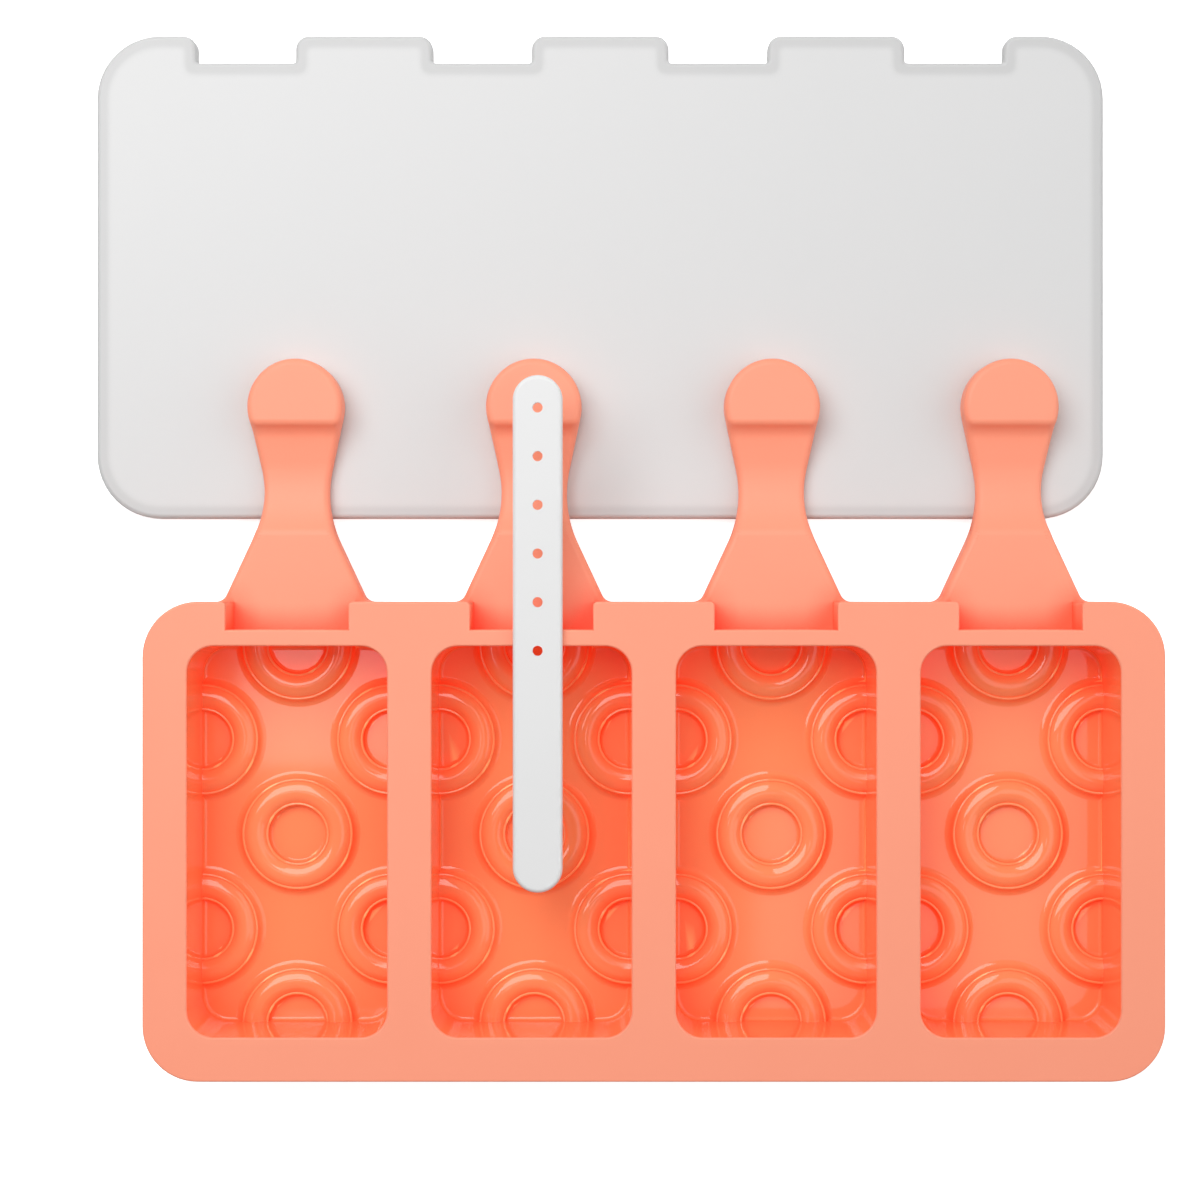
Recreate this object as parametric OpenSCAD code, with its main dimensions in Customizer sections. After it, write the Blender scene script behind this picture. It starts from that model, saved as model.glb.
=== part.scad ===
/* [Cavities] */
// Number of ice pop cavities in the row
cavity_count = 4; // [2:1:6]
// Width of one cavity at the rim
cavity_w = 44.2; // [40:0.2:52]
// Length of one cavity at the rim
cavity_l = 86.4; // [70:0.2:100]
// Depth of a cavity from the rim to its floor
cavity_depth = 21; // [18:0.5:26]
// Radius of a cavity's upright corners at the rim
cavity_r = 5.9; // [3:0.1:9]
// How far each wall leans in from the rim to the floor, so that the ice lets go
wall_draft = 0.5; // [0.2:0.1:1]

/* [Frame] */
// Width of the walls between two cavities
rib_w = 9.8; // [7:0.2:14]
// Width of the rim all round the row of cavities
border_w = 9.8; // [8.6:0.2:14]
// Radius of the frame's outer corners
frame_r = 12.2; // [8:0.2:16]
// Thickness of silicone below the cavity floors
floor_t = 4; // [2.5:0.5:6]
// Chamfer round the frame's bottom edge
base_chamfer = 0.8; // [0.4:0.1:1.5]
// Chamfer round the frame's top edge and round each cavity's mouth
rim_chamfer = 0.4; // [0.2:0.1:0.6]

/* [Floor rings] */
// Radius of a ring's outer crest line
ring_outer_r = 12.7; // [10:0.1:13.5]
// Radius of a ring's inner crest line
ring_inner_r = 6.55; // [5:0.05:8]
// Height of both crest lines above the floor
ring_line_h = 1.8; // [1:0.1:1.9]
// Height of the rounded band between the crest lines
ring_crown_h = 2.6; // [2.3:0.1:3.2]
// Width of the hollow foot that runs out to the floor
ring_foot_w = 1.9; // [1.9:0.1:2.4]
// Radius where a ring's inner wall meets the floor disc
ring_disc_fillet = 0.9; // [0.5:0.1:0.9]
// Spacing of the staggered ring rows along a cavity
ring_pitch = 21.6; // [20.8:0.1:24]

/* [Handles] */
// Width of the notch in the rim over each handle
notch_w = 27.1; // [24:0.1:30]
// Depth of the notch from the frame's rear face
notch_d = 6.2; // [4:0.1:7]
// Radius of the notch's upright edges at the rear face
notch_r = 1; // [0.5:0.1:2]
// Room under the handles for the lid that lies there
handle_gap = 0.4; // [0.3:0.1:1]
// Thickness of a handle at the two flat seats that the stick lies on
handle_t = 7.2; // [6.4:0.1:8.4]
// Radius of the round knob at a handle's end
knob_r = 10.8; // [9:0.1:12]
// Distance of the knob's centre from the frame's rear face
knob_reach = 44.2; // [43:0.2:50]
// Rounding of the knob's top edge
knob_round = 1.1; // [0.6:0.1:1.6]
// Half of the waist's width at its narrowest
waist_half = 7.45; // [6.8:0.05:8.5]
// Distance from the waist to the knob's centre
waist_to_knob = 19.7; // [18:0.1:21]
// Radius of the waist's curve, seen from above
waist_r = 26; // [22:0.5:30]
// Angle between a handle's straight side and its axis at the root
root_side_a = 25; // [20:0.5:27]
// Radius where a handle's sides run into the frame
root_fillet = 2.6; // [1.5:0.1:3.5]
// Radius of the finger scoop across a handle
scoop_r = 18.8; // [18:0.1:24]
// Depth of the finger scoop below the stick seats
scoop_d = 4.4; // [3:0.1:4.6]
// Distance from the scoop's lowest line to the knob's centre
scoop_to_knob = 16.3; // [15:0.1:17.2]
// Rounding of the edge where the scoop steps up to the knob
scoop_step_r = 2; // [0.8:0.1:3]
// Rounding where the scoop begins at the handle's root
scoop_root_r = 3; // [1:0.1:4]

/* [Stick] */
// Length of the stick
stick_l = 114; // [100:1:120]
// Width of the stick
stick_w = 11; // [9:0.2:12]
// Thickness of the stick
stick_t = 2.2; // [1.8:0.1:2.6]
// Width and height of the bevel along the stick's edges
stick_bevel = 0.6; // [0.3:0.1:0.8]
// Number of holes through the stick
hole_count = 6; // [1:1:7]
// Diameter of the holes
hole_d = 2.25; // [1.6:0.05:3]
// Distance between two holes
hole_pitch = 10.7; // [9:0.1:12]
// Distance of the first hole from the stick's outer end
hole_start = 7.2; // [5:0.1:10]
// Room between a stick and its slot
slot_clearance = 0.3; // [0.1:0.05:0.5]
// Which cavity the loose stick lies over, counted from the left
stick_cavity = 2; // [1:1:2]
// Sideways place of the loose stick from that cavity's middle
stick_shift = 1.4; // [-3:0.1:3]
// Place of the loose stick's middle, measured inwards from the notch's wall
stick_balance = 0.9; // [0.3:0.1:1.6]

/* [Lid] */
// Thickness of the lid's plate
lid_plate_t = 1.2; // [0.8:0.1:1.8]
// Height of the lid's skirt below the plate
lid_skirt_h = 3; // [2:0.1:4]
// Thickness of the lid's skirt
lid_skirt_t = 1.9; // [1.2:0.1:2.2]
// Room between the lid's skirt and the frame
lid_clearance = 0.3; // [0.1:0.05:0.6]
// Chamfer round the lid's top edge
lid_chamfer = 0.5; // [0.3:0.1:0.7]
// Rounding of the corners where the lid's edge turns into a notch
lid_notch_r = 3; // [1:0.1:3.2]
// How far the knobs reach in over the lid that lies off the mold
lid_overlap = 36; // [30:1:40]
// Sideways place of the lid's middle from the mold's middle
lid_shift = -12; // [-20:1:20]

/* [Hidden] */
$fn = 96;
// Overlap between pieces of one solid, and how far a cut runs past a face
lap = 1;
pitch = cavity_w + rib_w;
frame_w = cavity_count * cavity_w + (cavity_count - 1) * rib_w + 2 * border_w;
frame_l = cavity_l + 2 * border_w;
frame_h = floor_t + cavity_depth;
rear_y = frame_l / 2;
floor_w = cavity_w - 2 * wall_draft;
floor_l = cavity_l - 2 * wall_draft;

// A ring's rounded band is the top of a circle, and its foot is a quarter of a larger hollow
ring_half = (ring_outer_r - ring_inner_r) / 2;
ring_mid_r = (ring_outer_r + ring_inner_r) / 2;
band_rise = ring_crown_h - ring_line_h;
band_r = (pow(ring_half, 2) + pow(band_rise, 2)) / (2 * band_rise);
foot_r = (pow(ring_foot_w, 2) + pow(ring_line_h, 2)) / (2 * ring_line_h);
// The rings sit this much deeper, so that their feet cut into the floor at an angle
ring_sink = 0.05;

lid_grow = lid_clearance + lid_skirt_t;
lid_h = lid_plate_t + lid_skirt_h;
handle_z = lid_h + handle_gap;
// Level of the knob's top and of the handle's root, on which an inserted stick lies
seat_z = handle_z + handle_t;
// The straight side between waist and knob touches both of their circles
waist_x = waist_half + waist_r;
waist_reach = knob_reach - waist_to_knob;
scoop_reach = knob_reach - scoop_to_knob;
knob_side_a = atan2(waist_to_knob, waist_x) - acos((waist_r + knob_r) / norm([waist_x, waist_to_knob]));

// Middle of one cavity across the mold, counted from 1 at the left
function cavity_x(i) = (i - (cavity_count + 1) / 2) * pitch;

// Points along an arc from angle a0 to angle a1, where first = 1 leaves out the one at a0
function arc(x, y, r, a0, a1, steps, first = 0) =
    [for (i = [first:steps]) let (a = a0 + (a1 - a0) * i / steps) [x + r * cos(a), y + r * sin(a)]];

// Flat shape with rounded corners, centred on the origin
module rounded_rect(w, l, r) {
    square([w - 2 * r, l], center = true);
    square([w, l - 2 * r], center = true);
    for (x = [-1, 1], y = [-1, 1])
        translate([x * (w / 2 - r), y * (l / 2 - r)]) circle(r);
}

// Rounded block that widens by grow on each side towards its top: two leaning boxes and four cones
module flared_block(w, l, r, grow, h) {
    x = w / 2 - r;
    y = l / 2 - r;
    for (sx = [-1, 1], sy = [-1, 1])
        translate([sx * x, sy * y, 0]) cylinder(h = h, r1 = r, r2 = r + grow);
    rotate([90, 0, 0]) linear_extrude(2 * y, center = true)
        polygon([[-w / 2, 0], [w / 2, 0], [w / 2 + grow, h], [-w / 2 - grow, h]]);
    rotate([90, 0, 90]) linear_extrude(2 * x, center = true)
        polygon([[-l / 2, 0], [l / 2, 0], [l / 2 + grow, h], [-l / 2 - grow, h]]);
}

// Flat shape of a notch in an edge along Y = 0, with rounded corners at its mouth
module notch(w, d, r) {
    translate([-w / 2, -d]) square([w, d + lap]);
    for (side = [0, 1])
        mirror([side, 0]) difference() {
            translate([w / 2 - lap, -r]) square([r + lap, r + lap]);
            translate([w / 2 + r, -r]) circle(r);
        }
}

// The rim's notches, made narrower by inset on each side and moved out by it
module notches(inset, r) {
    for (i = [1:cavity_count])
        translate([cavity_x(i), rear_y + inset]) notch(notch_w - 2 * inset, notch_d, r);
}

// Section of a floor ring: inner wall, rounded band between the crest lines, and hollow foot outside
function ring_section() =
    let (
        disc_r = ring_inner_r - ring_disc_fillet,
        foot_end = ring_outer_r + ring_foot_w,
        band_a = atan2(ring_half, band_r - band_rise),
        foot_a = atan2(ring_foot_w, foot_r - ring_line_h)
    )
    concat(
        [[disc_r, -lap]],
        arc(disc_r, ring_disc_fillet, ring_disc_fillet, 270, 360, 4),
        arc(ring_mid_r, ring_crown_h - band_r, band_r, 90 + band_a, 90 - band_a, 6),
        arc(foot_end, foot_r, foot_r, 270 - foot_a, 270, 4, first = 1),
        [[foot_end, -lap]]
    );

// The ice's own shape in one cavity, which hollows the frame
module cavity() {
    rows = round(floor_l / 2 / ring_pitch);
    mouth_h = rim_chamfer + 2 * lap;
    difference() {
        union() {
            translate([0, 0, floor_t])
                flared_block(floor_w, floor_l, cavity_r - wall_draft, wall_draft, cavity_depth);
            translate([0, 0, frame_h - rim_chamfer - lap])
                flared_block(cavity_w - 2 * lap, cavity_l - 2 * lap, cavity_r - lap, mouth_h, mouth_h);
        }
        for (row = [-rows:rows], col = [-1:1])
            if ((row + col) % 2 == 0)
                translate([col * floor_w / 2, row * ring_pitch, floor_t - ring_sink])
                    rotate_extrude() polygon(ring_section());
    }
}

// Rounded plate with a chamfer round its top, which is all that a roof of 45 degrees cuts off it
module chamfered_block(w, l, r, h, chamfer) {
    intersection() {
        linear_extrude(h) rounded_rect(w, l, r);
        translate([0, 0, h]) mirror([0, 0, 1])
            flared_block(w - 2 * chamfer, l - 2 * chamfer, r - chamfer, h + lap, h + lap);
    }
}

// The solid frame before its cavities are taken out
module frame_block() {
    intersection() {
        chamfered_block(frame_w, frame_l, frame_r, frame_h, rim_chamfer);
        translate([0, 0, frame_h]) mirror([0, 0, 1])
            chamfered_block(frame_w, frame_l, frame_r, frame_h, base_chamfer);
    }
}

// Right side of a handle from its root to where it touches the knob's circle, seen from above
function handle_side() =
    let (
        line_x = waist_x - waist_r * cos(root_side_a),
        line_y = waist_reach - waist_r * sin(root_side_a),
        fillet_x = line_x + (line_y - root_fillet) * tan(root_side_a) + root_fillet / cos(root_side_a)
    )
    concat(
        [[fillet_x, -lap]],
        arc(fillet_x, root_fillet, root_fillet, 270, 180 + root_side_a, 6),
        arc(waist_x, waist_reach, waist_r, 180 + root_side_a, 180 - knob_side_a, 12),
        [[knob_r * cos(knob_side_a), knob_reach - knob_r * sin(knob_side_a)], [0, knob_reach]]
    );

// Outline of a handle up to the knob's middle, with its root on the frame's rear face at Y = 0
module handle_outline() {
    side = handle_side();
    polygon(concat(side, [for (i = [len(side) - 2:-1:0]) [-side[i][0], side[i][1]]]));
}

// Where a rounding of radius r joins the scoop to the flat seat: its distance and its end angle
function scoop_blend(r) =
    let (rise = scoop_r - scoop_d + r, across = sqrt(pow(scoop_r + r, 2) - pow(rise, 2)))
    [across, atan2(rise, across)];

// Side view of what the finger scoop takes away, with both of its ends rounded over
function scoop_section() =
    let (root = scoop_blend(scoop_root_r), step = scoop_blend(scoop_step_r))
    concat(
        [[scoop_reach - root[0], seat_z + lap]],
        arc(scoop_reach - root[0], seat_z - scoop_root_r, scoop_root_r, 90, root[1], 5),
        arc(scoop_reach, seat_z - scoop_d + scoop_r, scoop_r, 180 + root[1], 360 - step[1], 16, first = 1),
        arc(scoop_reach + step[0], seat_z - scoop_step_r, scoop_step_r, 180 - step[1], 90, 5, first = 1),
        [[scoop_reach + step[0], seat_z + lap]]
    );

// One handle: a waisted tongue with a finger scoop between its root and its round knob
module handle() {
    difference() {
        union() {
            translate([0, 0, handle_z]) linear_extrude(handle_t - knob_round) handle_outline();
            translate([0, 0, handle_z]) linear_extrude(handle_t) intersection() {
                handle_outline();
                translate([-pitch / 2, -lap]) square([pitch, scoop_reach + lap]);
            }
            translate([0, knob_reach, handle_z]) rotate_extrude() {
                square([knob_r - knob_round, handle_t]);
                square([knob_r, handle_t - knob_round]);
                translate([knob_r - knob_round, handle_t - knob_round]) circle(knob_round);
            }
        }
        rotate([90, 0, 90]) linear_extrude(pitch, center = true) polygon(scoop_section());
    }
}

// Slot through the wall behind a cavity, just above the handle's root
module stick_slot() {
    wall = border_w - notch_d;
    translate([-stick_w / 2 - slot_clearance, rear_y - notch_d - wall - lap, seat_z])
        cube([stick_w + 2 * slot_clearance, wall + 2 * lap, stick_t + slot_clearance]);
}

// Frame, cavities and handles, moulded in one piece of silicone
module mold_body() {
    color("salmon")
        difference() {
            union() {
                frame_block();
                for (i = [1:cavity_count])
                    translate([cavity_x(i), rear_y, 0]) handle();
            }
            for (i = [1:cavity_count])
                translate([cavity_x(i), 0, 0]) {
                    cavity();
                    stick_slot();
                }
            translate([0, 0, seat_z]) linear_extrude(frame_h - seat_z + lap) notches(0, notch_r);
        }
}

// Pressed-on cover, with a skirt that grips the frame's rim and its notches
module lid() {
    lid_w = frame_w + 2 * lid_grow;
    lid_l = frame_l + 2 * lid_grow;
    color("whitesmoke")
        translate([lid_shift, rear_y + knob_reach + knob_r - lid_overlap + lid_l / 2, 0])
            difference() {
                chamfered_block(lid_w, lid_l, frame_r + lid_grow, lid_h, lid_chamfer);
                translate([0, 0, -lap]) linear_extrude(lid_h + 2 * lap) notches(lid_grow, lid_notch_r);
                translate([0, 0, -lap]) linear_extrude(lid_skirt_h + lap) difference() {
                    rounded_rect(lid_w - 2 * lid_skirt_t, lid_l - 2 * lid_skirt_t, frame_r + lid_clearance);
                    notches(lid_clearance, notch_r);
                }
            }
}

// Flat stick with round ends, bevelled edges and a row of holes
module stick() {
    edge = [[stick_w / 2 - stick_bevel, 0], [stick_w / 2, stick_bevel],
        [stick_w / 2, stick_t - stick_bevel], [stick_w / 2 - stick_bevel, stick_t]];
    straight = stick_l - stick_w;
    color("white")
        translate([cavity_x(stick_cavity) + stick_shift, rear_y - notch_d - stick_balance, frame_h])
            difference() {
                union() {
                    rotate([90, 0, 0]) linear_extrude(straight, center = true)
                        polygon(concat(edge, [for (p = edge) [-p[0], stick_t - p[1]]]));
                    for (end = [-1, 1])
                        translate([0, end * straight / 2, 0]) rotate_extrude()
                            polygon(concat([[0, 0]], edge, [[0, stick_t]]));
                }
                for (i = [0:hole_count - 1])
                    translate([0, stick_l / 2 - hole_start - i * hole_pitch, -lap])
                        cylinder(h = stick_t + 2 * lap, d = hole_d);
            }
}

mold_body();
lid();
stick();
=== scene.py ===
"""Dresses a packed ice pop mold: a coral silicone mold, its frosted lid and one loose stick."""

import logging
import math
from dataclasses import dataclass
from enum import Enum
from typing import Callable, Iterable, Sequence

import bmesh
import bpy
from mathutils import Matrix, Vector


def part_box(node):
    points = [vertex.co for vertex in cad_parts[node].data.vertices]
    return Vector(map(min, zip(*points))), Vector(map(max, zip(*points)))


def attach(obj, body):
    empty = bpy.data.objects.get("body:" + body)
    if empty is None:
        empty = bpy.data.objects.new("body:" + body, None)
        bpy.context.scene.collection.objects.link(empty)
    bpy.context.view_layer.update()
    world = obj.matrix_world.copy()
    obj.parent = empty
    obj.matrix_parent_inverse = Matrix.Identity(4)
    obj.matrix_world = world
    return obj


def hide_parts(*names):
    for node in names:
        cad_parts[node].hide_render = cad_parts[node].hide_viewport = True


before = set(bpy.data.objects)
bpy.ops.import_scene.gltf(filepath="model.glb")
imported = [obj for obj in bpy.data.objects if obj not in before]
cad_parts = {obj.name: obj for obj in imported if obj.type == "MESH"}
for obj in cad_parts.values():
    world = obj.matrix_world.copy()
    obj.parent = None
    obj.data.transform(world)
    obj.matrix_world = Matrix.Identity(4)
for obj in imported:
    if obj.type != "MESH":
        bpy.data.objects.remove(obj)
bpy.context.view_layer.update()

LOG = logging.getLogger("ice_pop_mold")
MM = 0.001
NEAR = 1e-6
TRIES = 5
NUDGE = 3e-7
VOLUME_SLACK = 0.001
LEAST_LEFT = 0.01
ROOT = "root"

Point = tuple[float, float]
Colour = tuple[float, float, float]


class Kind(Enum):
    """What a boolean does with its second solid."""

    CUT = "DIFFERENCE"
    FUSE = "UNION"
    COMMON = "INTERSECT"


def arc(centre: Point, radius: float, start: float, stop: float, steps: int) -> list[Point]:
    """Points along an arc.

    Args:
        centre: middle of the arc's circle.
        radius: radius of the circle.
        start: angle of the first point, in degrees.
        stop: angle of the last point, in degrees.
        steps: number of stretches between the points.

    Returns:
        The points in order, both ends among them.
    """
    turns = (math.radians(start + (stop - start) * i / steps) for i in range(steps + 1))
    return [(centre[0] + radius * math.cos(a), centre[1] + radius * math.sin(a)) for a in turns]


def only(obj: bpy.types.Object) -> None:
    """Leaves obj alone selected and active, in object mode."""
    if bpy.context.object and bpy.context.object.mode != "OBJECT":
        bpy.ops.object.mode_set(mode="OBJECT")
    bpy.ops.object.select_all(action="DESELECT")
    obj.select_set(True)
    bpy.context.view_layer.objects.active = obj


def settle(obj: bpy.types.Object) -> None:
    """Moves obj's place, turn and size into its mesh."""
    only(obj)
    bpy.ops.object.transform_apply(location=True, rotation=True, scale=True)


def block(name: str, low: Sequence[float], high: Sequence[float]) -> bpy.types.Object:
    """A cube stretched between two corners, as the start of a piece.

    Args:
        name: name of the new object.
        low: its lowest corner, in metres.
        high: its highest corner, in metres.

    Returns:
        The new object, with its place in its mesh.
    """
    middle = [(a + b) / 2 for a, b in zip(low, high)]
    bpy.ops.mesh.primitive_cube_add(size=1, location=middle)
    obj = bpy.context.object
    obj.name = name
    obj.scale = [b - a for a, b in zip(low, high)]
    settle(obj)
    return obj


def pick_edges(obj: bpy.types.Object, test: Callable[[Vector, Vector], bool]) -> int:
    """Enters edit mode on obj and selects the edges whose two ends pass the test.

    Args:
        obj: the mesh object.
        test: takes an edge's two ends and says whether it is wanted.

    Returns:
        How many edges are selected.
    """
    only(obj)
    bpy.ops.object.mode_set(mode="EDIT")
    bpy.ops.mesh.select_mode(type="EDGE")
    bpy.ops.mesh.select_all(action="DESELECT")
    mesh = bmesh.from_edit_mesh(obj.data)
    picked = [e for e in mesh.edges if test(e.verts[0].co, e.verts[1].co)]
    for edge in picked:
        edge.select_set(True)
    bmesh.update_edit_mesh(obj.data)
    return len(picked)


def bevel_picked(width: float, segments: int) -> None:
    """Rounds the edges that are selected in edit mode.

    Args:
        width: radius of the rounding, in metres.
        segments: number of faces across the rounding.
    """
    bpy.ops.mesh.bevel(offset=width, offset_type="OFFSET", segments=segments, profile=0.5,
                       affect="EDGES", clamp_overlap=False, miter_outer="ARC")


def round_edges(
    obj: bpy.types.Object, test: Callable[[Vector, Vector], bool], width: float, segments: int
) -> None:
    """Rounds the edges that pass the test.

    Args:
        obj: the mesh object.
        test: takes an edge's two ends and says whether it is rounded.
        width: radius of the rounding, in metres.
        segments: number of faces across the rounding.
    """
    if pick_edges(obj, test):
        bevel_picked(width, segments)
    bpy.ops.object.mode_set(mode="OBJECT")


def upright(a: Vector, b: Vector) -> bool:
    """True for an edge that runs straight up."""
    return abs(a.x - b.x) < NEAR and abs(a.y - b.y) < NEAR and abs(a.z - b.z) > NEAR


def level_at(z: float) -> Callable[[Vector, Vector], bool]:
    """A test for edges that lie at height z."""
    return lambda a, b: abs(a.z - z) < NEAR and abs(b.z - z) < NEAR


def volume(obj: bpy.types.Object) -> float:
    """Volume of a closed mesh, in cubic metres."""
    mesh = bmesh.new()
    mesh.from_mesh(obj.data)
    amount = mesh.calc_volume()
    mesh.free()
    return amount


def combine(obj: bpy.types.Object, other: bpy.types.Object, kind: Kind) -> None:
    """Changes obj by another solid, which is deleted.

    The solver now and then loses a solid whose faces lie close together, so a result whose volume
    can't be right is put back and the other solid is moved by a hair before the next try.

    Args:
        obj: the object that stays.
        other: the solid that is cut out, fused on or kept in common.
        kind: which of the three is done.
    """
    first, second = volume(obj), volume(other)
    least, most = {
        Kind.CUT: (first - second, first),
        Kind.FUSE: (max(first, second), first + second),
        Kind.COMMON: (first * LEAST_LEFT, min(first, second)),
    }[kind]
    spare = obj.data.copy()
    for attempt in range(TRIES):
        only(obj)
        change = obj.modifiers.new("combine", "BOOLEAN")
        change.operation = kind.value
        change.solver = "EXACT"
        change.object = other
        bpy.ops.object.modifier_apply(modifier=change.name)
        if least * (1 - VOLUME_SLACK) < volume(obj) < most * (1 + VOLUME_SLACK):
            break
        LOG.warning("%s: the %s of %s went wrong, try %d", obj.name, kind.name, other.name, attempt + 1)
        obj.data = spare.copy()
        other.location.x += NUDGE
    bpy.data.objects.remove(other)


def joined(name: str, parts: Iterable[bpy.types.Object]) -> bpy.types.Object:
    """Several objects made into one."""
    parts = list(parts)
    only(parts[0])
    for part in parts[1:]:
        part.select_set(True)
    if len(parts) > 1:
        bpy.ops.object.join()
    parts[0].name = name
    return parts[0]


def copied(obj: bpy.types.Object, places: Iterable[Sequence[float]]) -> list[bpy.types.Object]:
    """Copies of obj at the given places, each with its own mesh; obj itself is deleted."""
    copies = []
    for place in places:
        only(obj)
        bpy.ops.object.duplicate(linked=False)
        twin = bpy.context.object
        twin.location = place
        settle(twin)
        copies.append(twin)
    bpy.data.objects.remove(obj)
    return copies


def chain(name: str, points: Sequence[Sequence[float]], closed: bool) -> bpy.types.Object:
    """A chain of edges through the points, drawn by extruding one vertex on and on.

    Args:
        name: name of the new object.
        points: the places that the chain runs through.
        closed: whether the last point is joined to the first.

    Returns:
        The new object, which has edges and no faces.
    """
    bpy.ops.mesh.primitive_plane_add(size=MM, location=(0, 0, 0))
    obj = bpy.context.object
    obj.name = name
    bpy.ops.object.mode_set(mode="EDIT")
    bpy.ops.mesh.select_mode(type="VERT")
    bpy.ops.mesh.select_all(action="SELECT")
    bpy.ops.mesh.merge(type="CENTER")
    bpy.ops.transform.translate(value=points[0])
    for here, there in zip(points, points[1:]):
        step = Vector(there) - Vector(here)
        bpy.ops.mesh.extrude_vertices_move(TRANSFORM_OT_translate={"value": step})
    if closed:
        bpy.ops.mesh.select_all(action="DESELECT")
        mesh = bmesh.from_edit_mesh(obj.data)
        mesh.verts.ensure_lookup_table()
        for vertex in mesh.verts:
            if len(vertex.link_edges) == 1:
                vertex.select_set(True)
        bmesh.update_edit_mesh(obj.data)
        bpy.ops.mesh.edge_face_add()
    bpy.ops.object.mode_set(mode="OBJECT")
    return obj


def prism(name: str, points: Sequence[Sequence[float]], along: Sequence[float]) -> bpy.types.Object:
    """A closed outline filled with a face and drawn out into a solid.

    Args:
        name: name of the new object.
        points: the flat outline.
        along: how far, and which way, the outline is drawn out.

    Returns:
        The solid.
    """
    obj = chain(name, points, closed=True)
    only(obj)
    bpy.ops.object.mode_set(mode="EDIT")
    bpy.ops.mesh.select_all(action="SELECT")
    bpy.ops.mesh.edge_face_add()
    bpy.ops.mesh.extrude_region_move(TRANSFORM_OT_translate={"value": along})
    bpy.ops.mesh.select_all(action="SELECT")
    bpy.ops.mesh.normals_make_consistent(inside=False)
    bpy.ops.object.mode_set(mode="OBJECT")
    return obj


def tidy(obj: bpy.types.Object, angle: float) -> None:
    """Merges doubles, points all faces outwards and smooths edges under the angle.

    Args:
        obj: the finished mesh object.
        angle: edges sharper than this, in degrees, stay sharp.
    """
    only(obj)
    bpy.ops.object.mode_set(mode="EDIT")
    bpy.ops.mesh.select_all(action="SELECT")
    bpy.ops.mesh.remove_doubles(threshold=NEAR)
    bpy.ops.mesh.normals_make_consistent(inside=False)
    bpy.ops.object.mode_set(mode="OBJECT")
    bpy.ops.object.shade_smooth_by_angle(angle=math.radians(angle))
    weigh = obj.modifiers.new("weigh", "WEIGHTED_NORMAL")
    weigh.keep_sharp = True
    weigh.weight = 100
    bpy.ops.object.modifier_apply(modifier=weigh.name)


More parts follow.
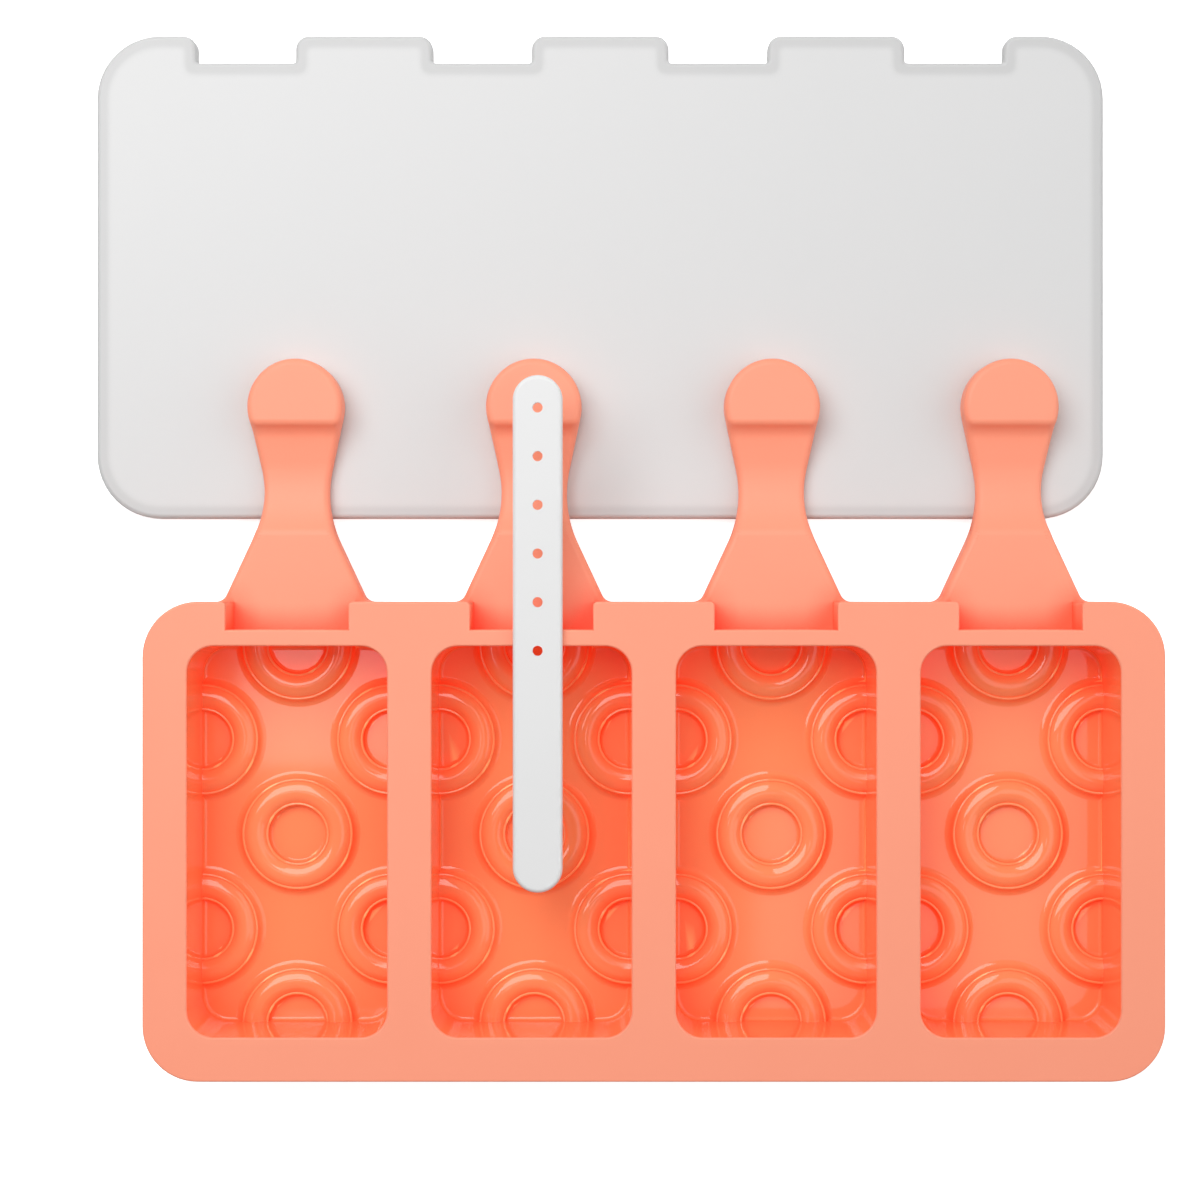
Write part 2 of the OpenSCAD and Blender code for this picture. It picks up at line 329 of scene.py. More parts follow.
@dataclass
class Frame:
    """The silicone frame with its cavities, notches and stick slots, in millimetres."""

    cavity_count: int = 4
    cavity_w: float = 44.2
    cavity_l: float = 86.4
    cavity_r: float = 5.9
    floor_t: float = 4.0
    wall_draft: float = 0.5
    rib_w: float = 9.8
    frame_r: float = 12.2
    notch_w: float = 27.1
    notch_d: float = 6.2
    notch_r: float = 1.0
    seat_z: float = 11.8
    rim_round: float = 0.45
    floor_round: float = 0.8
    base_round: float = 0.8
    slot_w: float = 11.6
    slot_h: float = 2.5
    lap: float = 1.0

    def __post_init__(self) -> None:
        """Takes the frame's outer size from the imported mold."""
        low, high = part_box("mold_body")
        self.half_w = high[0] / MM
        self.rear_y = -low[1] / MM
        self.height = high[2] / MM
        self.pitch = self.cavity_w + self.rib_w
        self.floor_w = self.cavity_w - 2 * self.wall_draft
        self.floor_l = self.cavity_l - 2 * self.wall_draft

    def middles(self) -> list[float]:
        """Middle of each cavity across the mold."""
        first = -(self.cavity_count - 1) / 2 * self.pitch
        return [first + i * self.pitch for i in range(self.cavity_count)]

    def box(self, name: str, low: Sequence[float], high: Sequence[float]) -> bpy.types.Object:
        """A block between two corners in millimetres."""
        return block(name, [v * MM for v in low], [v * MM for v in high])

    def build(self, ring: "FloorRing", handle: "Handle") -> bpy.types.Object:
        """Models the whole silicone mold as one closed piece.

        Args:
            ring: the relief on the cavity floors.
            handle: the waisted tongues behind the notches.

        Returns:
            The mold's object.
        """
        corner = (self.half_w, self.rear_y, self.height)
        mold = self.box("silicone_mold", (-self.half_w, -self.rear_y, 0), corner)
        round_edges(mold, upright, self.frame_r * MM, segments=14)
        combine(mold, self.notch_cutters(), Kind.CUT)
        combine(mold, self.ice(ring), Kind.CUT)
        self.round_notches(mold)
        round_edges(mold, level_at(self.height * MM), self.rim_round * MM, segments=4)
        round_edges(mold, level_at(0.0), self.base_round * MM, segments=3)
        combine(mold, self.slot_cutters(), Kind.CUT)
        places = [(x * MM, self.rear_y * MM, 0) for x in self.middles()]
        combine(mold, joined("handles", copied(handle.build(), places)), Kind.FUSE)
        tidy(mold, angle=28)
        return mold

    def notch_cutters(self) -> bpy.types.Object:
        """Blocks that open the rim above each handle."""
        half, inner, outer = self.notch_w / 2, self.rear_y - self.notch_d, self.rear_y + self.lap
        return joined("notch_cutters", [
            self.box("notch", (x - half, inner, self.seat_z), (x + half, outer, self.height + self.lap))
            for x in self.middles()
        ])

    def slot_cutters(self) -> bpy.types.Object:
        """Blocks that open the stick slots through the walls behind the cavities."""
        half, outer = self.slot_w / 2, self.rear_y - self.notch_d + self.lap
        inner = self.cavity_l / 2 - self.lap
        return joined("slot_cutters", [
            self.box("slot", (x - half, inner, self.seat_z), (x + half, outer, self.seat_z + self.slot_h))
            for x in self.middles()
        ])

    def ice(self, ring: "FloorRing") -> bpy.types.Object:
        """The shape of the ice in every cavity, with the floor relief pressed into it."""
        half_w, half_l = self.cavity_w / 2, self.cavity_l / 2
        ice = self.box("ice", (-half_w, -half_l, self.floor_t), (half_w, half_l, self.height))
        round_edges(ice, upright, self.cavity_r * MM, segments=12)
        if pick_edges(ice, level_at(self.floor_t * MM)):
            shrink = (self.floor_w / self.cavity_w, self.floor_l / self.cavity_l, 1)
            bpy.ops.transform.resize(value=shrink, center_override=(0, 0, 0))
        bpy.ops.object.mode_set(mode="OBJECT")
        round_edges(ice, level_at(self.floor_t * MM), self.floor_round * MM, segments=5)
        if pick_edges(ice, level_at(self.height * MM)):
            bpy.ops.mesh.select_mode(type="FACE")
            bpy.ops.mesh.extrude_region_move(TRANSFORM_OT_translate={"value": (0, 0, self.lap * MM)})
        bpy.ops.object.mode_set(mode="OBJECT")
        rings = joined("rings", copied(ring.build(), ring.places(self)))
        combine(ice, rings, Kind.CUT)
        return joined("ices", copied(ice, [(x * MM, 0, 0) for x in self.middles()]))

    def round_notches(self, mold: bpy.types.Object) -> None:
        """Rounds the upright edges where the rear face turns into the notches."""
        rear, seat = self.rear_y * MM, self.seat_z * MM

        def at_mouth(a: Vector, b: Vector) -> bool:
            """True for an upright edge of a notch on the rear face, between the frame's own corners."""
            beyond = (self.half_w - self.frame_r) * MM - NEAR
            above = min(a.z, b.z) > seat - NEAR
            return upright(a, b) and above and abs(a.y - rear) < NEAR and abs(a.x) < beyond

        round_edges(mold, at_mouth, self.notch_r * MM, segments=4)


@dataclass
class FloorRing:
    """A raised ring on a cavity's floor, in millimetres."""

    outer_r: float = 12.7
    inner_r: float = 6.55
    line_h: float = 1.8
    crown_h: float = 2.6
    foot_w: float = 1.9
    disc_fillet: float = 0.9
    bead_r: float = 0.36
    groove_w: float = 0.5
    groove_h: float = 1.45
    pitch: float = 21.6
    foot_share: float = 0.8
    sunk: float = 1.0
    seat: float = 0.03
    steps: int = 72

    def section(self) -> list[Point]:
        """The ring's section from the floor disc outwards, as radius and height above the floor."""
        disc_r = self.inner_r - self.disc_fillet
        foot_r = (self.foot_w ** 2 + self.line_h ** 2) / (2 * self.line_h)
        foot_end = self.outer_r + self.foot_w
        foot_a = math.degrees(math.asin(self.foot_w / foot_r))
        left, right = self.inner_r + self.groove_w, self.outer_r - self.groove_w
        half, rise = (right - left) / 2, self.crown_h - self.groove_h
        band_r = (half ** 2 + rise ** 2) / (2 * rise)
        band_a = math.degrees(math.asin(half / band_r))
        band = arc(((left + right) / 2, self.crown_h - band_r), band_r, 90 + band_a, 90 - band_a, steps=12)
        return [
            (disc_r, -self.sunk),
            *arc((disc_r, self.disc_fillet), self.disc_fillet, 270, 360, steps=6),
            *arc((self.inner_r + self.bead_r, self.line_h - self.bead_r), self.bead_r, 180, 40, steps=5),
            *band,
            *arc((self.outer_r - self.bead_r, self.line_h - self.bead_r), self.bead_r, 140, 0, steps=5),
            *arc((foot_end, foot_r), foot_r, 270 - foot_a * self.foot_share, 270, steps=6),
            (foot_end, -self.sunk),
        ]

    def build(self) -> bpy.types.Object:
        """Spins the section into one closed ring about the origin."""
        points = [(r * MM, 0, z * MM) for r, z in self.section()]
        ring = chain("ring", points, closed=True)
        only(ring)
        bpy.ops.object.mode_set(mode="EDIT")
        bpy.ops.mesh.select_all(action="SELECT")
        bpy.ops.mesh.delete(type="ONLY_FACE")
        bpy.ops.mesh.select_all(action="SELECT")
        bpy.ops.mesh.spin(steps=self.steps, angle=math.tau, center=(0, 0, 0), axis=(0, 0, 1), dupli=False)
        bpy.ops.mesh.select_all(action="SELECT")
        bpy.ops.mesh.remove_doubles(threshold=NEAR)
        bpy.ops.mesh.normals_make_consistent(inside=False)
        bpy.ops.object.mode_set(mode="OBJECT")
        return ring

    def places(self, cavity: Frame) -> list[tuple[float, float, float]]:
        """Staggered places over one cavity's floor, with half rings along its edges, in metres."""
        rows = round(cavity.floor_l / 2 / self.pitch)
        floor = (cavity.floor_t - self.seat) * MM
        return [
            (column * cavity.floor_w / 2 * MM, row * self.pitch * MM, floor)
            for row in range(-rows, rows + 1) for column in (-1, 0, 1) if (row + column) % 2 == 0
        ]


@dataclass
class Handle:
    """A waisted tongue with a finger scoop and a round knob, in millimetres."""

    z: float = 4.6
    thickness: float = 7.2
    knob_r: float = 10.8
    knob_reach: float = 44.2
    waist_half: float = 7.45
    waist_reach: float = 24.5
    waist_r: float = 26.0
    root_angle: float = 25.0
    root_fillet: float = 2.6
    scoop_r: float = 18.8
    scoop_d: float = 4.4
    scoop_reach: float = 27.9
    crease_r: float = 3.0
    step_r: float = 1.8
    wall_r: float = 4.5
    wall_a: float = 12.0
    wall_run: float = 5.2
    top_round: float = 1.6
    base_round: float = 0.6
    sharp: float = 50.0
    lap: float = 1.0

    def side(self) -> list[Point]:
        """The right side from the root to the knob's tip, seen from above."""
        waist_x = self.waist_half + self.waist_r
        rise = self.knob_reach - self.waist_reach
        touch = math.acos((self.waist_r + self.knob_r) / math.hypot(waist_x, rise))
        knob_angle = math.degrees(math.atan2(rise, waist_x) - touch)
        root_end, knob_start = 180 + self.root_angle, 180 - knob_angle
        root = math.radians(self.root_angle)
        line_x = waist_x - self.waist_r * math.cos(root)
        line_y = self.waist_reach - self.waist_r * math.sin(root)
        fillet_x = line_x + (line_y - self.root_fillet) * math.tan(root) + self.root_fillet / math.cos(root)
        return [
            (fillet_x, -self.lap),
            *arc((fillet_x, self.root_fillet), self.root_fillet, 270, root_end, steps=8),
            *arc((waist_x, self.waist_reach), self.waist_r, root_end, knob_start, steps=24),
            *arc((0, self.knob_reach), self.knob_r, -knob_angle, 90, steps=30),
        ]

    def profile(self) -> list[Point]:
        """The handle's top from the root to beyond the knob, as distance and height above its underside."""
        def blend(hollow: Point, hollow_r: float, radius: float) -> tuple[float, float]:
            """Distance from a hollow's middle of a rounding against the flat top, and its end angle."""
            rise = hollow[1] - self.thickness + radius
            across = math.sqrt((hollow_r + radius) ** 2 - rise ** 2)
            return across, math.degrees(math.atan2(rise, across))

        scoop = (self.scoop_reach, self.thickness - self.scoop_d + self.scoop_r)
        lean, inner = math.radians(self.wall_a), self.scoop_r - self.wall_r
        wall = (scoop[0] + inner * math.sin(lean) + self.wall_run * math.cos(lean),
                scoop[1] - inner * math.cos(lean) + self.wall_run * math.sin(lean))
        crease_x, crease_a = blend(scoop, self.scoop_r, self.crease_r)
        step_x, step_a = blend(wall, self.wall_r, self.step_r)
        return [
            (-2 * self.lap, self.thickness),
            *arc((scoop[0] - crease_x, self.thickness - self.crease_r), self.crease_r, 90, crease_a, steps=8),
            *arc(scoop, self.scoop_r, 180 + crease_a, 270 + self.wall_a, steps=28)[1:],
            *arc(wall, self.wall_r, 270 + self.wall_a, 360 - step_a, steps=14)[:-1],
            *arc((wall[0] + step_x, self.thickness - self.step_r), self.step_r, 180 - step_a, 90, steps=6),
            (self.knob_reach + self.knob_r + self.lap, self.thickness),
        ]

    def build(self) -> bpy.types.Object:
        """Models one handle whose root ends just inside the frame's rear face."""
        right = self.side()
        outline = right + [(-x, y) for x, y in reversed(right[:-1])]
        handle = prism("handle", [(x * MM, y * MM, self.z * MM) for x, y in outline],
                       (0, 0, (self.thickness + self.lap) * MM))
        top = self.profile()
        below = [(top[-1][0], -self.lap), (top[0][0], -self.lap)]
        side = [(-2 * self.knob_r * MM, y * MM, (self.z + z) * MM) for y, z in top + below]
        combine(handle, prism("top_profile", side, (4 * self.knob_r * MM, 0, 0)), Kind.COMMON)
        self.round_rims(handle)
        return handle

    def round_rims(self, handle: bpy.types.Object) -> None:
        """Rounds the edges along both sides, more at the top than underneath."""
        low = self.z * MM
        only(handle)
        bpy.ops.object.mode_set(mode="EDIT")
        bpy.ops.mesh.select_mode(type="EDGE")
        bpy.ops.mesh.select_all(action="DESELECT")
        mesh = bmesh.from_edit_mesh(handle.data)
        for edge in mesh.edges:
            a, b = (vertex.co for vertex in edge.verts)
            root_end = max(a.y, b.y) < -self.lap * MM + NEAR
            on_top = min(a.z, b.z) > low + NEAR and not upright(a, b)
            edge.select_set(on_top and not root_end and edge.calc_face_angle(0) > math.radians(self.sharp))
        bmesh.update_edit_mesh(handle.data)
        bevel_picked(self.top_round * MM, segments=5)
        bpy.ops.object.mode_set(mode="OBJECT")
        round_edges(handle, level_at(low), self.base_round * MM, segments=3)


@dataclass
class Lid:
    """The frosted cover that lies on the table under the handles, in millimetres."""

    skirt_h: float = 3.0
    skirt_t: float = 1.9
    frame_r: float = 12.2
    grow: float = 2.2
    notch_w: float = 27.1
    notch_d: float = 6.2
    mouth_r: float = 3.0
    inner_r: float = 0.7
    top_round: float = 1.1
    lap: float = 1.0

    def __post_init__(self) -> None:
        """Takes the lid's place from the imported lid."""
        low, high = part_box("lid")
        self.low = [v / MM for v in low]
        self.high = [v / MM for v in high]
        self.middle_x = (self.low[0] + self.high[0]) / 2

    def shell(
        self, cavities: Frame, inset: float, low_z: float, high_z: float, mouth_r: float
    ) -> bpy.types.Object:
        """The lid's outline, made smaller by inset, as a solid between two heights.

        Args:
            cavities: the frame that the notches line up with.
            inset: how far the outline lies inside the lid's edge.
            low_z: height of the solid's underside.
            high_z: height of its top.
            mouth_r: rounding of the corners at the notches' mouths.

        Returns:
            The solid.
        """
        low = (self.low[0] + inset, self.low[1] + inset, low_z)
        high = (self.high[0] - inset, self.high[1] - inset, high_z)
        shell = cavities.box("lid_shell", low, high)
        round_edges(shell, upright, (self.frame_r + self.grow - inset) * MM, segments=12)
        half = self.notch_w / 2 - self.grow + inset
        edge = self.high[1] - inset
        combine(shell, joined("lid_notches", [
            cavities.box("lid_notch", (self.middle_x + x - half, edge - self.notch_d, low_z - self.lap),
                         (self.middle_x + x + half, edge + self.lap, high_z + self.lap))
            for x in cavities.middles()
        ]), Kind.CUT)
        straight = (cavities.half_w - self.frame_r) * MM - NEAR

        def at(y: float) -> Callable[[Vector, Vector], bool]:
            """A test for the upright notch edges at depth y."""
            return lambda a, b: (upright(a, b) and abs(a.y - y * MM) < NEAR
                                 and abs(a.x - self.middle_x * MM) < straight)

        round_edges(shell, at(edge), mouth_r * MM, segments=6)
        round_edges(shell, at(edge - self.notch_d), self.inner_r * MM, segments=4)
        return shell

    def build(self, cavities: Frame) -> bpy.types.Object:
        """Models the lid: plate, skirt and notches in one piece."""
        lid = self.shell(cavities, 0, 0, self.high[2], self.mouth_r)
        round_edges(lid, level_at(self.high[2] * MM), self.top_round * MM, segments=5)
        hollow = self.shell(cavities, self.skirt_t, -self.lap, self.skirt_h, self.inner_r)
        combine(lid, hollow, Kind.CUT)
        lid.name = "frosted_lid"
        tidy(lid, angle=35)
        return lid


@dataclass
class Stick:
    """The flat stick with round ends and a row of holes, in millimetres."""

    bevel: float = 0.95
    hole_count: int = 6
    hole_r: float = 1.125
    hole_pitch: float = 10.7
    hole_start: float = 7.2
    lap: float = 1.0

    def build(self) -> bpy.types.Object:
        """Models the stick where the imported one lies."""
        low, high = ([v / MM for v in corner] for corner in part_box("stick"))
        radius, middle = (high[0] - low[0]) / 2, (low[0] + high[0]) / 2
        outline = arc((middle, high[1] - radius), radius, 0, 180, steps=32)
        outline += arc((middle, low[1] + radius), radius, 180, 360, steps=32)
        stick = prism("flat_stick", [(x * MM, y * MM, low[2] * MM) for x, y in outline],
                      (0, 0, (high[2] - low[2]) * MM))
        for z in (low[2], high[2]):
            round_edges(stick, level_at(z * MM), self.bevel * MM, segments=3)
        drills = []
        for i in range(self.hole_count):
            place = (middle, high[1] - self.hole_start - i * self.hole_pitch, (low[2] + high[2]) / 2)
            bpy.ops.mesh.primitive_cylinder_add(vertices=32, radius=self.hole_r * MM,
                                                depth=(high[2] - low[2] + 2 * self.lap) * MM,
                                                location=[v * MM for v in place])
            settle(bpy.context.object)
            drills.append(bpy.context.object)
        combine(stick, joined("drills", drills), Kind.CUT)
        tidy(stick, angle=35)
        return stick


def shader(name: str) -> tuple[bpy.types.Material, bpy.types.NodeTree, bpy.types.ShaderNode]:
    """A new node material with its Principled shader.

    Args:
        name: the material's name.

    Returns:
        The material, its node tree and its Principled BSDF.
    """
    material = bpy.data.materials.new(name)
    material.use_nodes = True
    tree = material.node_tree
    return material, tree, tree.nodes["Principled BSDF"]


def noise_group() -> bpy.types.NodeTree:
    """A group that gives soft mottling and a fine grain in the object's own coordinates."""
    name = "soft_grain"
    if name in bpy.data.node_groups:
        return bpy.data.node_groups[name]
    tree = bpy.data.node_groups.new(name, "ShaderNodeTree")
    sockets = (("Mottle Scale", "INPUT"), ("Grain Scale", "INPUT"), ("Mottle", "OUTPUT"), ("Grain", "OUTPUT"))
    for label, way in sockets:
        tree.interface.new_socket(name=label, in_out=way, socket_type="NodeSocketFloat")
    start, end = tree.nodes.new("NodeGroupInput"), tree.nodes.new("NodeGroupOutput")
    place = tree.nodes.new("ShaderNodeTexCoord")
    for label, detail in (("Mottle", 2.0), ("Grain", 4.0)):
        noise = tree.nodes.new("ShaderNodeTexNoise")
        noise.inputs["Detail"].default_value = detail
        tree.links.new(place.outputs["Object"], noise.inputs["Vector"])
        tree.links.new(start.outputs[label + " Scale"], noise.inputs["Scale"])
        tree.links.new(noise.outputs["Fac"], end.inputs[label])
    return tree


def hollow_group() -> bpy.types.NodeTree:
    """A group that masks hollows and inner corners for painted shade and red light: 0 out in the open and up
    to 1 far inside.
    """
    name = "hollow_mask"
    if name in bpy.data.node_groups:
        return bpy.data.node_groups[name]
    tree = bpy.data.node_groups.new(name, "ShaderNodeTree")
    for label in ("Distance", "Full"):
        tree.interface.new_socket(name=label, in_out="INPUT", socket_type="NodeSocketFloat")
    tree.interface.new_socket(name="Mask", in_out="OUTPUT", socket_type="NodeSocketFloat")
    start, end = tree.nodes.new("NodeGroupInput"), tree.nodes.new("NodeGroupOutput")
    shade = tree.nodes.new("ShaderNodeAmbientOcclusion")
    shade.samples = 6
    shade.only_local = True
    tree.links.new(start.outputs["Distance"], shade.inputs["Distance"])
    mask = tree.nodes.new("ShaderNodeMapRange")
    mask.inputs["From Min"].default_value = 1.0
    tree.links.new(start.outputs["Full"], mask.inputs["From Max"])
    tree.links.new(shade.outputs["AO"], mask.inputs["Value"])
    tree.links.new(mask.outputs["Result"], end.inputs["Mask"])
    return tree


@dataclass(frozen=True)
class Finish:
    """A moulded surface: its colour, gloss and fine grain, and the shade, highlights and red light painted on
    some.

    Attributes:
        name: the material's name.
        colour: its base colour, in linear values.
        mottled: the colour at the other end of a soft mottling.
        roughness: its roughness where it is smoothest.
        roughness_span: how much the mottling adds to that.
        bump: strength of the fine grain.
        grain_scale: how fine the grain is.
        specular: strength of its plain reflection.
        painted_skirt_shade: painted shade over the skirt, the colour of the plate where more plastic lies
            below it.
        painted_shade: colour of painted shade far inside hollows and inner corners.
        painted_open_glow: painted red light given off by emission out in the open, standing in for light that
            soaks through silicone.
        painted_hollow_glow: painted red light given off by emission far inside hollows.
        reach: how far away walls still make a hollow for the painted shade and red light, in metres.
        full: how open a place still is where the painted shade and red light are complete.
        edge: colour of the painted highlight on sharp ridges.
        mottle_scale: how fine the mottling is.
        bump_reach: height of the fine grain, in metres.
        ior: its index of refraction.
        tint: share of green in the painted red light.
    """

    name: str
    colour: Colour
    mottled: Colour
    roughness: float
    roughness_span: float
    bump: float
    grain_scale: float
    specular: float = 0.5
    painted_skirt_shade: Colour | None = None
    painted_shade: Colour | None = None
    painted_open_glow: float = 0.07
    painted_hollow_glow: float = 0.0
    reach: float = 0.02
    full: float = 0.15
    edge: Colour | None = None
    mottle_scale: float = 45.0
    bump_reach: float = 0.00005
    ior: float = 1.43
    tint: float = 0.02

    def build(self) -> bpy.types.Material:
        """Makes the material with its nodes."""
        material, tree, principled = shader(self.name)
        grain = tree.nodes.new("ShaderNodeGroup")
        grain.node_tree = noise_group()
        grain.inputs["Mottle Scale"].default_value = self.mottle_scale
        grain.inputs["Grain Scale"].default_value = self.grain_scale
        blend = tree.nodes.new("ShaderNodeMix")
        blend.data_type = "RGBA"
        blend.inputs["A"].default_value = (*self.colour, 1)
        blend.inputs["B"].default_value = (*self.mottled, 1)
        tree.links.new(grain.outputs["Mottle"], blend.inputs["Factor"])
        # Painted shade over the lid's skirt, or painted shade, highlights and red light for silicone.
        if self.painted_skirt_shade:
            self.paint_skirt_shade(tree, principled, blend.outputs["Result"])
        elif self.painted_shade:
            self.paint_hollow_shade_and_glow(tree, principled, blend.outputs["Result"])
        else:
            tree.links.new(blend.outputs["Result"], principled.inputs["Base Color"])
        rough = tree.nodes.new("ShaderNodeMapRange")
        rough.inputs["To Min"].default_value = self.roughness
        rough.inputs["To Max"].default_value = self.roughness + self.roughness_span
        tree.links.new(grain.outputs["Mottle"], rough.inputs["Value"])
        tree.links.new(rough.outputs["Result"], principled.inputs["Roughness"])
        bump = tree.nodes.new("ShaderNodeBump")
        bump.inputs["Strength"].default_value = self.bump
        bump.inputs["Distance"].default_value = self.bump_reach
        tree.links.new(grain.outputs["Grain"], bump.inputs["Height"])
        tree.links.new(bump.outputs["Normal"], principled.inputs["Normal"])
        principled.inputs["Specular IOR Level"].default_value = self.specular
        principled.inputs["IOR"].default_value = self.ior
        return material

    def paint_skirt_shade(
        self, tree: bpy.types.NodeTree, principled: bpy.types.ShaderNode, colour: bpy.types.NodeSocket
    ) -> None:
        """Paints shade over the skirt: the plate is coloured darker where more plastic lies below it,
        standing in for the skirt seen through translucent plastic.

        Args:
            tree: the material's node tree.
            principled: its shader.
            colour: the colour of the thin plate.
        """
        skirt_reach, over_skirt, over_hollow = 0.0026, 0.42, 0.24
        inner = tree.nodes.new("ShaderNodeAmbientOcclusion")
        inner.samples = 16
        inner.inside = True
        inner.only_local = True
        inner.inputs["Distance"].default_value = skirt_reach
        depth = tree.nodes.new("ShaderNodeMapRange")
        depth.inputs["From Min"].default_value = over_hollow
        depth.inputs["From Max"].default_value = over_skirt
        tree.links.new(inner.outputs["AO"], depth.inputs["Value"])
        blend = tree.nodes.new("ShaderNodeMix")
        blend.data_type = "RGBA"
        blend.inputs["B"].default_value = (*self.painted_skirt_shade, 1)
        tree.links.new(depth.outputs["Result"], blend.inputs["Factor"])
        tree.links.new(colour, blend.inputs["A"])
        tree.links.new(blend.outputs["Result"], principled.inputs["Base Color"])

    def paint_ridge_highlights(self, tree: bpy.types.NodeTree, colour: bpy.types.NodeSocket) -> bpy.types.NodeSocket:
        """Paints a highlight on sharp ridges, standing in for light that soaks through them from both sides.

        Args:
            tree: the material's node tree.
            colour: the colour away from the ridges.

        Returns:
            The colour with the painted highlights on the ridges.
        """
        nearly_flat, sharp = 0.53, 0.60
        shape = tree.nodes.new("ShaderNodeNewGeometry")
        ridge = tree.nodes.new("ShaderNodeMapRange")
        ridge.inputs["From Min"].default_value = nearly_flat
        ridge.inputs["From Max"].default_value = sharp
        tree.links.new(shape.outputs["Pointiness"], ridge.inputs["Value"])
        edge = tree.nodes.new("ShaderNodeMix")
        edge.data_type = "RGBA"
        edge.inputs["B"].default_value = (*self.edge, 1)
        tree.links.new(ridge.outputs["Result"], edge.inputs["Factor"])
        tree.links.new(colour, edge.inputs["A"])
        return edge.outputs["Result"]

    def paint_hollow_shade_and_glow(
        self, tree: bpy.types.NodeTree, principled: bpy.types.ShaderNode, colour: bpy.types.NodeSocket
    ) -> None:
        """Paints shade into hollows and, where set, highlights on sharp ridges, and gives off painted red
        light by emission, more of it in hollows, standing in for light that soaks through silicone.

        Args:
            tree: the material's node tree.
            principled: its shader.
            colour: the colour out in the open.
        """
        hollow = tree.nodes.new("ShaderNodeGroup")
        hollow.node_tree = hollow_group()
        hollow.inputs["Distance"].default_value = self.reach
        hollow.inputs["Full"].default_value = self.full
        # Painted shade in hollows and inner corners.
        blend = tree.nodes.new("ShaderNodeMix")
        blend.data_type = "RGBA"
        blend.inputs["B"].default_value = (*self.painted_shade, 1)
        tree.links.new(hollow.outputs["Mask"], blend.inputs["Factor"])
        tree.links.new(colour, blend.inputs["A"])
        result = blend.outputs["Result"]
        # Painted highlight on sharp ridges.
        if self.edge:
            result = self.paint_ridge_highlights(tree, result)
        tree.links.new(result, principled.inputs["Base Color"])
        # Painted red light given off by emission, more of it in hollows.
        shine = tree.nodes.new("ShaderNodeMix")
        shine.data_type = "RGBA"
        for label, level in (("A", self.painted_open_glow), ("B", self.painted_hollow_glow)):
            shine.inputs[label].default_value = (level, self.tint * level, 0.0, 1)
        tree.links.new(hollow.outputs["Mask"], shine.inputs["Factor"])
        tree.links.new(shine.outputs["Result"], principled.inputs["Emission Color"])
        principled.inputs["Emission Strength"].default_value = 1.0


def satin_silicone() -> Finish:
    """Matte rim and handles of the mold, with painted shade and red light in hollows and faint painted red
    light in the open.
    """
    return Finish("satin_silicone", (0.960, 0.335, 0.204), (0.965, 0.351, 0.217), roughness=0.50,
                  roughness_span=0.08, bump=0.25, grain_scale=5200.0, specular=0.74,
                  painted_shade=(1.0, 0.153, 0.068), painted_hollow_glow=0.11, reach=0.0065, full=0.5)


def glossy_silicone() -> Finish:
    """Polished inside of the cavities, with painted shade and red light in hollows, faint painted red light
    in the open and painted highlights on sharp ridges.
    """
    return Finish("glossy_silicone", (0.970, 0.298, 0.120), (0.975, 0.314, 0.131), roughness=0.05,
                  roughness_span=0.02, bump=0.02, grain_scale=900.0, specular=0.74,
                  painted_shade=(1.0, 0.213, 0.085), painted_hollow_glow=0.20, reach=0.013, edge=(1.0, 0.52, 0.216))


def frosted_plastic() -> Finish:
    """Milky plastic of the lid: opaque, with painted shade in a band over its skirt."""
    return Finish("frosted_plastic", (0.686, 0.686, 0.686), (0.698, 0.698, 0.698), roughness=0.42,
                  roughness_span=0.08, bump=0.05, grain_scale=4200.0, painted_skirt_shade=(0.593, 0.593, 0.593))


def white_plastic() -> Finish:
    """Plain white plastic of the stick."""
    return Finish("white_plastic", (0.778, 0.778, 0.778), (0.792, 0.792, 0.792), roughness=0.36,
                  roughness_span=0.06, bump=0.12, grain_scale=3600.0)


def dress(
    piece: bpy.types.Object, finishes: Sequence[Finish], pick: Callable[[Vector], int] | None = None
) -> None:
    """Gives a piece its finishes.

    Args:
        piece: the object.
        finishes: its materials, in slot order.
        pick: takes a face's middle and says which material it has; without it all faces have the first.
    """
    piece.data.materials.clear()
    for finish in finishes:
        piece.data.materials.append(finish.build())
    for face in piece.data.polygons:
        face.material_index = pick(face.center) if pick else 0


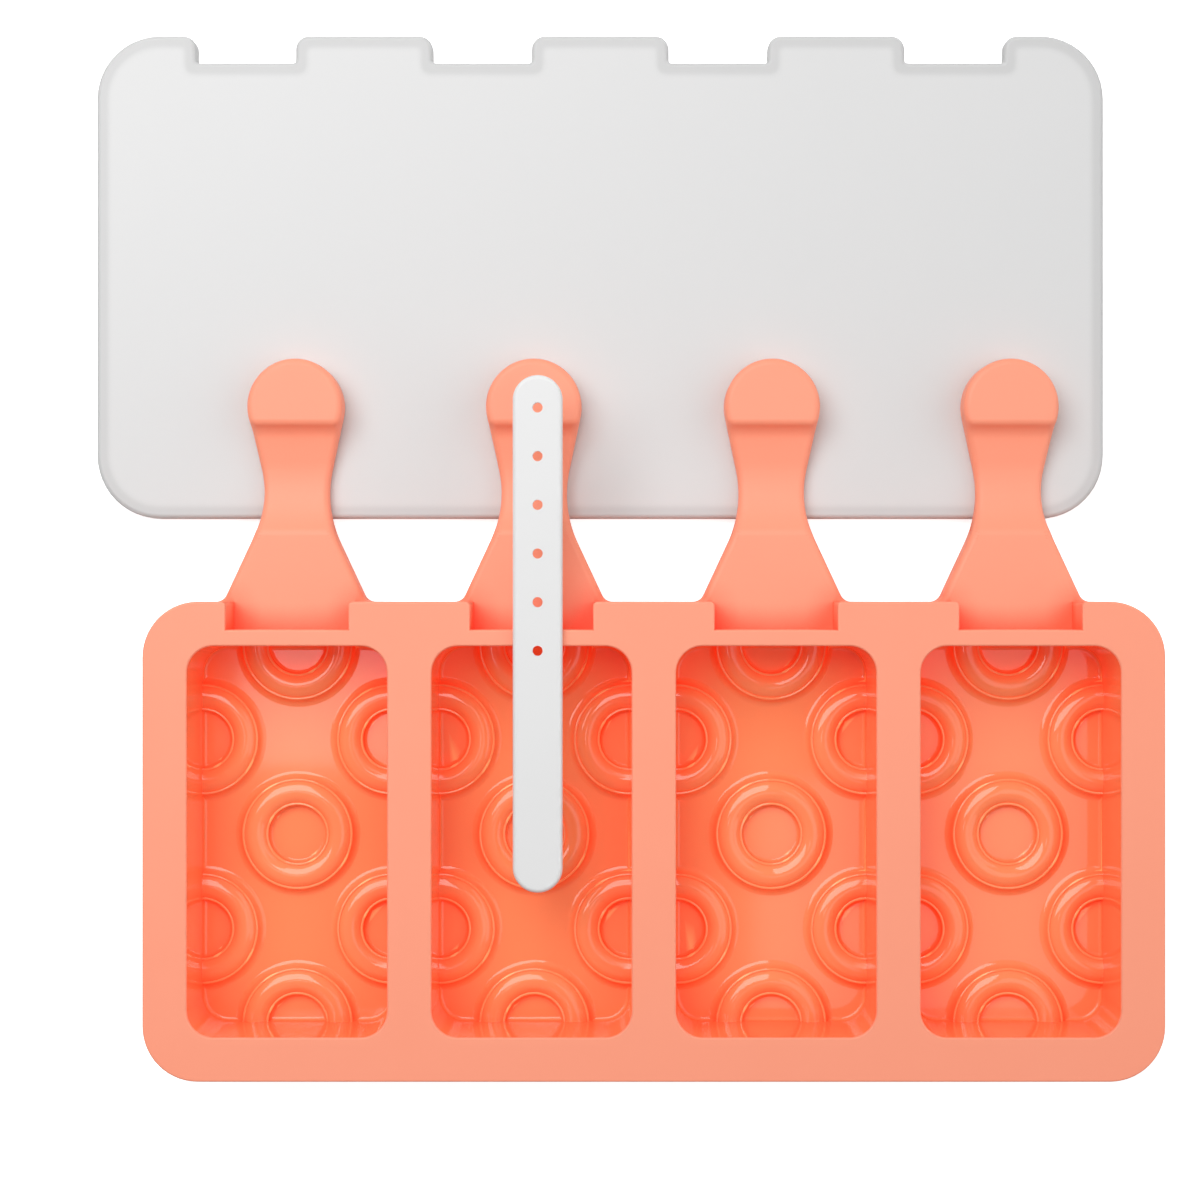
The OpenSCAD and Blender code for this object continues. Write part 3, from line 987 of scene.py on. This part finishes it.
@dataclass
class Studio:
    """Floor, lamps and camera of a product shot from straight above; the camera's lengths are in mm."""

    photo_side: float = 1200.0
    mm_per_px: float = 0.2206
    rim_distance: float = 575.0
    middle_px: Point = (600.0, 600.0)
    axis_px: Point = (618.0, 601.0)
    mold_px: Point = (653.9, 841.9)
    table_drop: float = 0.05
    table_white: float = 0.8
    table_glow: float = 0.75
    world_level: float = 0.246

    def floor(self) -> bpy.types.Object:
        """A white table top that looks pure white and still takes a faint shadow."""
        bpy.ops.mesh.primitive_plane_add(size=6, location=(0, 0, -self.table_drop * MM))
        floor = bpy.context.object
        floor.name = "white_table"
        material, tree, principled = shader("table_white")
        principled.inputs["Base Color"].default_value = (*[self.table_white] * 3, 1)
        principled.inputs["Roughness"].default_value = 0.9
        principled.inputs["Specular IOR Level"].default_value = 0.1
        principled.inputs["Emission Color"].default_value = (1, 1, 1, 1)
        seen = tree.nodes.new("ShaderNodeLightPath")
        strength = tree.nodes.new("ShaderNodeMath")
        strength.operation = "MULTIPLY"
        strength.inputs[1].default_value = self.table_glow
        tree.links.new(seen.outputs["Is Camera Ray"], strength.inputs[0])
        tree.links.new(strength.outputs["Value"], principled.inputs["Emission Strength"])
        floor.data.materials.append(material)
        return floor

    def soft_box(
        self, name: str, place: Sequence[float], size: tuple[float, float], lean: float, radiance: float
    ) -> bpy.types.Object:
        """A soft box above the table.

        Args:
            name: name of the lamp.
            place: where its middle is, in metres.
            size: lengths of its sides, in metres.
            lean: how far its face leans to the left, in degrees; 0 lights straight down.
            radiance: how bright its face is; at 1 the face itself would render as white.

        Returns:
            The lamp.
        """
        bpy.ops.object.light_add(type="AREA", location=place, rotation=(0, math.radians(lean), 0))
        lamp = bpy.context.object
        lamp.name = name
        lamp.data.shape = "RECTANGLE"
        lamp.data.size, lamp.data.size_y = size
        lamp.data.energy = radiance * size[0] * size[1] * math.pi
        return lamp

    def lamps(self) -> None:
        """The soft boxes, each with its name, place, size, lean and radiance."""
        for box in (
            ("key", (-0.42, 0.57, 0.8), (0.93, 0.87), 0, 3.83),
            ("top_left", (-0.165, 0.0, 0.8), (0.09, 0.07), 0, 2.29),
            ("top_right", (0.47, 0.05, 1.2), (0.55, 0.7), 0, 1.01),
            ("low_right", (0.14, -0.19, 1.2), (0.11, 0.24), 0, 0.97),
            ("fill", (1.0, 0.35, 0.65), (1.0, 1.6), 57, 1.01),
        ):
            self.soft_box(*box)

    def world(self) -> None:
        """Even white light from all round, and a white backdrop."""
        world = bpy.data.worlds.new("studio")
        bpy.context.scene.world = world
        world.use_nodes = True
        tree = world.node_tree
        background = tree.nodes["Background"]
        background.inputs["Color"].default_value = (1, 1, 1, 1)
        path = tree.nodes.new("ShaderNodeLightPath")
        seen = tree.nodes.new("ShaderNodeMapRange")
        seen.inputs["To Min"].default_value = self.world_level
        seen.inputs["To Max"].default_value = 1.0
        tree.links.new(path.outputs["Is Camera Ray"], seen.inputs["Value"])
        tree.links.new(seen.outputs["Result"], background.inputs["Strength"])

    def camera(self, rim_z: float) -> bpy.types.Object:
        """The camera straight above the mold, as in the photograph.

        Args:
            rim_z: height of the mold's rim, in metres.

        Returns:
            The camera.
        """
        x = (self.axis_px[0] - self.mold_px[0]) * self.mm_per_px * MM
        y = (self.mold_px[1] - self.axis_px[1]) * self.mm_per_px * MM
        bpy.ops.object.camera_add(location=(x, y, rim_z + self.rim_distance * MM), rotation=(0, 0, 0))
        camera = bpy.context.object
        camera.name = "overhead"
        camera.data.sensor_width = 36.0
        camera.data.lens = camera.data.sensor_width * self.rim_distance / (self.photo_side * self.mm_per_px)
        camera.data.shift_x = (self.middle_px[0] - self.axis_px[0]) / self.photo_side
        camera.data.shift_y = (self.axis_px[1] - self.middle_px[1]) / self.photo_side
        camera.data.clip_start = 0.01
        bpy.context.scene.camera = camera
        return camera


def main() -> None:
    """Builds, dresses and lights the ice pop mold."""
    logging.basicConfig(level=logging.INFO, format="%(message)s")
    frame_part = Frame()

    mold = frame_part.build(FloorRing(), Handle())
    inside_w, inside_l = frame_part.cavity_w / 2 * MM, frame_part.cavity_l / 2 * MM
    below_rim = (frame_part.height - frame_part.rim_round) * MM
    slack = 0.01 * MM

    def in_cavity(middle: Vector) -> int:
        """1 for a face inside a cavity and 0 for any other."""
        near = min(abs(middle.x - x * MM) for x in frame_part.middles())
        inside = near < inside_w + slack and abs(middle.y) < inside_l + slack
        return int(inside and frame_part.floor_t * MM - slack < middle.z < below_rim)

    dress(mold, [satin_silicone(), glossy_silicone()], in_cavity)
    lid = Lid().build(frame_part)
    dress(lid, [frosted_plastic()])
    stick = Stick().build()
    dress(stick, [white_plastic()])

    for piece, node, slot in ((mold, "mold_body", "silicone"), (lid, "lid", "frosted_plastic"),
                              (stick, "stick", "white_plastic")):
        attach(piece, ROOT)
        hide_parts(node)
        LOG.info("%s: %d faces", piece.name, len(piece.data.polygons))

    studio = Studio()
    studio.floor()
    studio.world()
    studio.lamps()
    studio.camera(frame_part.height * MM)
    bpy.context.scene.view_settings.view_transform = "Standard"


if __name__ == "__main__":
    main()
